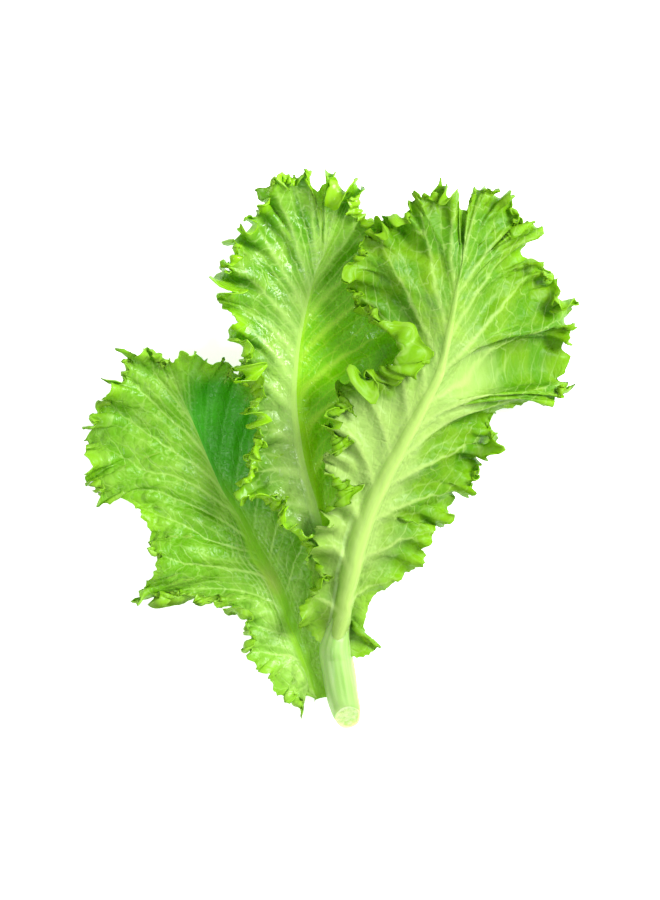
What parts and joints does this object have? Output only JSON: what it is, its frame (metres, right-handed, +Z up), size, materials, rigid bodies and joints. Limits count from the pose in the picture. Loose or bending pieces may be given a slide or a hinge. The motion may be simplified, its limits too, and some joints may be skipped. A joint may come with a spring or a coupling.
{
  "type": "green leaf lettuce sprig",
  "caption": "Cut sprig of frilly green leaf lettuce, lying flat: ruffled leaves with pale ribs on one short cut stem.",
  "frame": {"origin": "middle of the sprig's box, seen from above, on the surface that it lies on", "axes": "+Z up from the surface, +Y from the cut stem towards the leaf tips, +X to the right as seen from above"},
  "size_m": [0.2099, 0.231, 0.0464],
  "materials": {
    "leaf_green": null,
    "stem_green": null
  },
  "bodies": {
    "root": {"leaf_left": "leaf_green", "leaf_middle": "leaf_green", "leaf_right": "leaf_green", "stem": "stem_green"}
  },
  "joints": []
}
